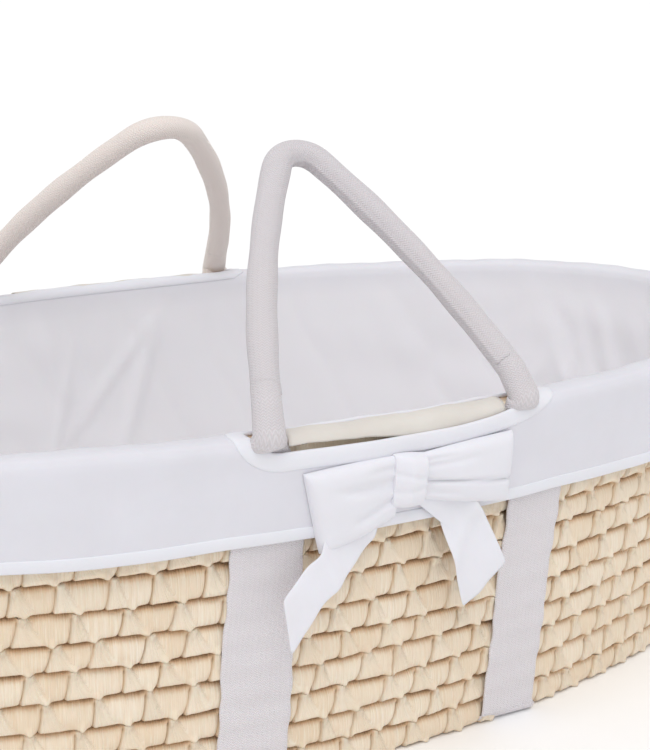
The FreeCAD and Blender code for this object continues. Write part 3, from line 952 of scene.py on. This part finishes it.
def foot(handle, end):
    """Webbing between strap and tube: flat behind the skirt, closing into the round tube above."""
    side = handle["side"]
    path, _ = arch(handle, FOOT)
    tip, inner = (path[0], path[3]) if end < 0 else (path[-1], path[-4])
    tube_point, above = lean(handle, np.array([[tip[0], 0.0, tip[1]], [inner[0], 0.0, inner[1]]]))
    direction = unit(above - tube_point)
    foot_x = handle["feet"][0 if end < 0 else 1]
    flat_x, flat_half = (foot_x + 3.0, 15.5) if end < 0 else (foot_x - 1.0, 14.0)
    spots = [0.0, 0.24, 0.44, 0.62, 0.84, 1.0]
    knots = np.array([[flat_x, wall_y(flat_x, -6.6, side), 206.0],
                      [flat_x, wall_y(flat_x, -5.4, side), 217.0],
                      [(flat_x + foot_x) / 2, wall_y(foot_x, -5.4, side), 226.5],
                      [foot_x, side * (HINGE_Y - 0.5), 234.5],
                      tube_point - direction * 6, tube_point + direction * 6])
    u = np.linspace(0, 1, 52)
    line = np.stack([np.interp(u, spots, knots[:, k]) for k in range(3)], 1)
    wide = np.interp(u, spots, [flat_half, flat_half, 12.6, 9.6, TUBE_RADIUS, TUBE_RADIUS - 0.25])
    deep = np.interp(u, spots, [0.9, 1.4, 4.2, 8.0, TUBE_RADIUS, TUBE_RADIUS - 0.25])
    for data in (line, wide, deep, wide, deep):
        data[1:-1] = (data[:-2] + 2 * data[1:-1] + data[2:]) / 4
    tangent = unit(np.gradient(line, axis=0))
    lateral = unit(np.array([1.0, 0.0, 0.0]) - tangent * tangent[:, :1])
    outward = np.cross(tangent, lateral)
    around = circle(48)
    power = np.interp(u, [0, 0.5, 0.8, 1.0], [0.6, 0.8, 1.0, 1.0])[:, None]
    ca, sa = np.cos(around)[None, :], np.sin(around)[None, :]
    seam = 1 + 0.055 * np.exp(-((u - 0.56) / 0.02) ** 2)[:, None]
    across = np.sign(ca) * np.abs(ca) ** power * wide[:, None] * seam
    height = np.sign(sa) * np.abs(sa) ** power * deep[:, None] * seam
    points = line[:, None, :] + lateral[:, None, :] * across[..., None]
    points = points + outward[:, None, :] * height[..., None]
    girth = np.append(around, 2 * math.pi) * TUBE_RADIUS
    length = walked(line)
    name = "foot_%s_%s" % (handle["name"], "left" if end < 0 else "right")
    return capped(name, points, uv_grid(girth[None, :], length[:, None])), tube_point + direction * 6


def handle_feet(handle):
    """Both feet of a handle, between the basket and the handle."""
    for end in (-1, 1):
        obj, top = foot(handle, end)
        obj.data.materials.append(TUBE_WEB[handle["name"]])
        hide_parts("handle_feet_" + handle["name"])
        Vector(top) * MM
        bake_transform(obj)


# ---- mattress ----
def mattress():
    """Cotton-covered pad with a rounded edge, piping and a crowned, lightly quilted top."""
    low, high = mm_box("mattress_cover")
    edge = high[0] - HALF_LENGTH
    thick = high[2] - low[2]
    s = turn_of(360)
    outline = []
    for radius, height, turn in ((9, 9, np.linspace(-90, 0, 7)), (11, thick - 14, np.linspace(0, 90, 9))):
        for a in map(math.radians, turn):
            outline.append((-radius + radius * math.cos(a), height + radius * math.sin(a)))
    outline = np.array(outline)
    wall = OVAL.place(s[:, None], edge - 0.5 + outline[None, :, 0], low[2] + outline[None, :, 1])
    inner = wall[:, -1]
    share = np.linspace(1, 0.0008, 34)[1:]
    top = inner[:, None, :] * share[None, :, None]
    dome = 3.0 * (1 - share[None, :] ** 3)
    x, y = top[:, :, 0] / 45, top[:, :, 1] / 45
    quilt = 1.2 * np.abs(np.sin(x + y) * np.sin(x - y)) ** 0.5
    top[:, :, 2] = inner[:, None, 2] + dome * 0.75 + (quilt - 0.6) * (1 - share[None, :] ** 8) * 0.8
    under = wall[:, 0]
    base = under[:, None, :] * np.linspace(0.0008, 1, 8)[None, :-1, None]
    base[:, :, 2] = low[2] + 0.05
    points = np.concatenate([base, wall, top], axis=1)
    uv = np.concatenate([points, points[:1]])[:, :, :2] * MM
    pad = grid_object("mattress_pad", points, True, False, uv)
    fixed(pad, "mattress", "mattress_cover", QUILT, "mattress_cover", "mattress_foam")
    ring = circle(10)
    across, up = 1.6 * np.cos(ring)[None, :], 1.6 * np.sin(ring)[None, :]
    uv = uv_grid(np.append(s, OVAL.length)[:, None], np.append(ring, 6.28)[None, :])
    for name, z in (("piping_upper", thick - 9.0), ("piping_lower", 8.0)):
        piping = OVAL.place(s[:, None], edge - 1.0 + across, low[2] + z + up)
        fixed(grid_object(name, piping, True, True, uv), "mattress", "mattress_cover", QUILT)


# ---- bow ----
def skirt_y(x, z):
    """y of the skirt's outside on the bow's side."""
    lean_in = np.clip((RIM_TOP - 7 - z) / (RIM_TOP - 7 - HEM_Z), -0.1, 1.0)
    return wall_y(x, -6.8 * lean_in + 0.4, -1)


def patch(corners, u, v):
    """Bilinear points of a four-cornered (x, z) outline: start low, start high, end high, end low."""
    a, b, c, d = (np.array(p, float) for p in corners)
    u, v = u[..., None], v[..., None]
    return (a * (1 - v) + b * v) * (1 - u) + (d * (1 - v) + c * v) * u


def bow_loop(name, corners, rise, creases, bulge):
    """Flattened loop of cloth that stands off the skirt, with steep folds at its ends."""
    u, v = np.meshgrid(*((1 - np.cos(np.linspace(0, math.pi, n))) / 2 for n in (56, 40)), indexing="ij")
    place = patch(corners, u, v)
    x, z = place[..., 0], place[..., 1] + bulge * np.sin(math.pi * u) * (2 * v - 1)
    swell = (1 - (2 * v - 1) ** 10) ** 0.5 * (1 - (u * 0.995) ** 24) ** 0.5
    height = rise * (0.45 + 0.55 * smooth(0, 0.5, u)) * (1 - 0.16 * (2 * v - 1) ** 2)
    for centre, slope, depth, width, reach in creases:
        line = v - centre - slope * u
        height = height - depth * np.exp(-(line / width) ** 2) * (1 - smooth(reach - 0.3, reach, u))
    height = height * swell
    front = np.stack([x, skirt_y(x, z) - 1.0 - height, z], -1)
    back = np.stack([x, skirt_y(x, z) - 0.6, z], -1)
    points = np.concatenate([front, back[:, ::-1]], axis=1)
    uv = np.stack([x, z + 0.6 * height], -1)
    uv = np.concatenate([uv, uv[:, ::-1], uv[:, :1]], axis=1) * MM
    return capped(name, points, uv)


def bow():
    """Two loops, the wrap over their middle and two hanging tails."""
    left = bow_loop("left", [(-15, 173), (-14, 213), (-76, 209.5), (-63, 158)], 9.0,
                    [(0.62, 0.12, 1.5, 0.07, 0.8), (0.33, -0.12, 2.0, 0.06, 0.7),
                     (0.82, 0.08, 1.0, 0.05, 0.5), (0.5, 0.3, 0.8, 0.05, 0.9)], 1.0)
    right = bow_loop("right", [(0, 183), (0, 211.5), (69, 215.5), (69, 169)], 8.5,
                     [(0.42, -0.06, 2.6, 0.028, 1.4), (0.7, 0.14, 1.0, 0.06, 0.7),
                      (0.2, -0.1, 0.9, 0.06, 0.6), (0.85, 0.02, 0.7, 0.04, 0.5)], 0.8)
    loops = joined("bow_both_loops", [left, right])
    fixed(loops, "basket", "bow_cotton", BOW_COTTON, "bow_loops")
    knot = bow_loop("bow_wrap", [(-18, 180), (-18, 214), (3, 212), (2, 180)], 11.5,
                    [(0.3, 0.1, 0.7, 0.05, 1.6), (0.66, -0.1, 0.9, 0.05, 1.6)], 0.6)
    fixed(knot, "basket", "bow_cotton", BOW_COTTON, "bow_knot")
    first = bow_tail("tail_left", [(-24, 184), (-58, 184), (-66, 160), (-91, 136), (-86, 102),
                                   (-73, 116), (-61, 131), (-28, 163)], 1.0, 2.5)
    second = bow_tail("tail_right", [(-6, 186), (40, 180), (50, 167), (68, 130), (36, 107),
                                     (19, 166)], 2.0, 1.0)
    tails = joined("bow_both_tails", [first, second])
    fixed(tails, "basket", "bow_cotton", BOW_COTTON, "bow_tails")


def bow_tail(name, outline, seed, stand):
    """Hanging end of the bow: a closed outline in (x, z) filled with a softly folded double sheet."""
    outline = np.array(outline, float)
    closed = np.concatenate([outline, outline[:1]])
    length = walked(closed)
    edge = spread(closed, length, np.linspace(0, length[-1], 120, endpoint=False))
    for _ in range(2):
        edge = (np.roll(edge, 1, 0) + 4 * edge + np.roll(edge, -1, 0)) / 6
    middle = edge.mean(axis=0)
    share = np.linspace(0.001, 1, 26)
    place = middle + (edge - middle)[:, None, :] * share[None, :, None]
    x, z = place[..., 0], place[..., 1]
    hang = 0.5 + 3.2 * smooth(0, 45, 175 - z)
    outward = hang + (stand - hang) * smooth(150, 172, z)
    outward = outward + waves(x + z * 0.4 * seed, (47, 1.0, seed), (21, 0.35, seed * 2))
    ridge = np.abs(x - middle[0] - 0.55 * (z - middle[1]) * (-1) ** int(seed))
    outward = outward + 1.6 * np.exp(-(ridge / 7) ** 2)
    y = np.minimum(skirt_y(x, z), -226.0) - 1.2 - np.maximum(outward, 0)
    rim = 1.3 * (share[None, :] ** 12)
    front = np.stack([x, y - 0.6 + rim * 0.5, z], -1)
    back = np.stack([x, y + 0.8 - rim * 0.5, z], -1)
    points = np.concatenate([front, back[:, ::-1]], axis=1)
    uv = np.concatenate([place, place[:, ::-1]], axis=1)
    uv = np.concatenate([uv, uv[:1]]) * MM
    return grid_object(name, points, True, False, uv)


liner = liner_wall()
liner_trim()
facings = [facing(-1), facing(1)]
panel = liner_floor()
for end in ("left", "right"):
    strap("strap_" + end, "carry_strap_" + end)
for handle in (FRONT_HANDLE, BACK_HANDLE):
    handle_tube(handle)
    handle_feet(handle)
mattress()
bow()


# ---- studio ----
CAMERA_PLACE = (-0.5401, -1.0408, 0.5128)
CAMERA_TURN = (0.5316, -0.2556, 0.0065)   # yaw, pitch and roll, in radians
LENS = 82.79
SKY, SUN, SUN_ANGLE = 0.72, 1.25, 50
SUN_WAY = (0.3, 0.5, -1.0)
FLOOR = (-15000, 15000, -15000, 25000)    # x from and to, y from and to


def studio():
    """Camera, pale floor and soft light."""
    scene = bpy.context.scene
    scene.view_settings.view_transform = "Standard"
    camera = bpy.data.cameras.new("camera")
    camera.lens = LENS
    camera.dof.use_dof = False
    eye = bpy.data.objects.new("camera", camera)
    yaw, pitch, roll = CAMERA_TURN
    ahead = Vector((math.sin(yaw) * math.cos(pitch), math.cos(yaw) * math.cos(pitch), math.sin(pitch)))
    right = Vector((math.cos(yaw), -math.sin(yaw), 0.0))
    up = right.cross(ahead)
    across = right * math.cos(roll) + up * math.sin(roll)
    above = up * math.cos(roll) - right * math.sin(roll)
    turn = Matrix((across, above, -ahead)).transposed().to_4x4()
    eye.matrix_world = Matrix.Translation(CAMERA_PLACE) @ turn
    scene.collection.objects.link(eye)
    scene.camera = eye

    paper = Nodes("floor", 0.9)
    grain = paper.noise(paper.add("NewGeometry").outputs["Position"], 40.0)
    paper.finish(paper.mix(grain, (0.965, 0.965, 0.97, 1), (0.985, 0.985, 0.985, 1)))
    x0, x1, y0, y1 = FLOOR
    corners = [(x0, y0, -0.5), (x1, y0, -0.5), (x1, y1, -0.5), (x0, y1, -0.5)]
    floor = new_object("floor", corners, [[0, 1, 2, 3]])
    floor.data.materials.append(paper.material)

    world = bpy.data.worlds.new("studio")
    world.use_nodes = True
    background = world.node_tree.nodes["Background"]
    background.inputs[0].default_value = (1.0, 1.0, 1.0, 1)
    background.inputs[1].default_value = SKY
    scene.world = world
    sun = bpy.data.lights.new("key", "SUN")
    sun.energy = SUN
    sun.angle = math.radians(SUN_ANGLE)
    key = bpy.data.objects.new("key", sun)
    key.rotation_euler = Vector(SUN_WAY).to_track_quat("-Z", "Y").to_euler()
    scene.collection.objects.link(key)


studio()
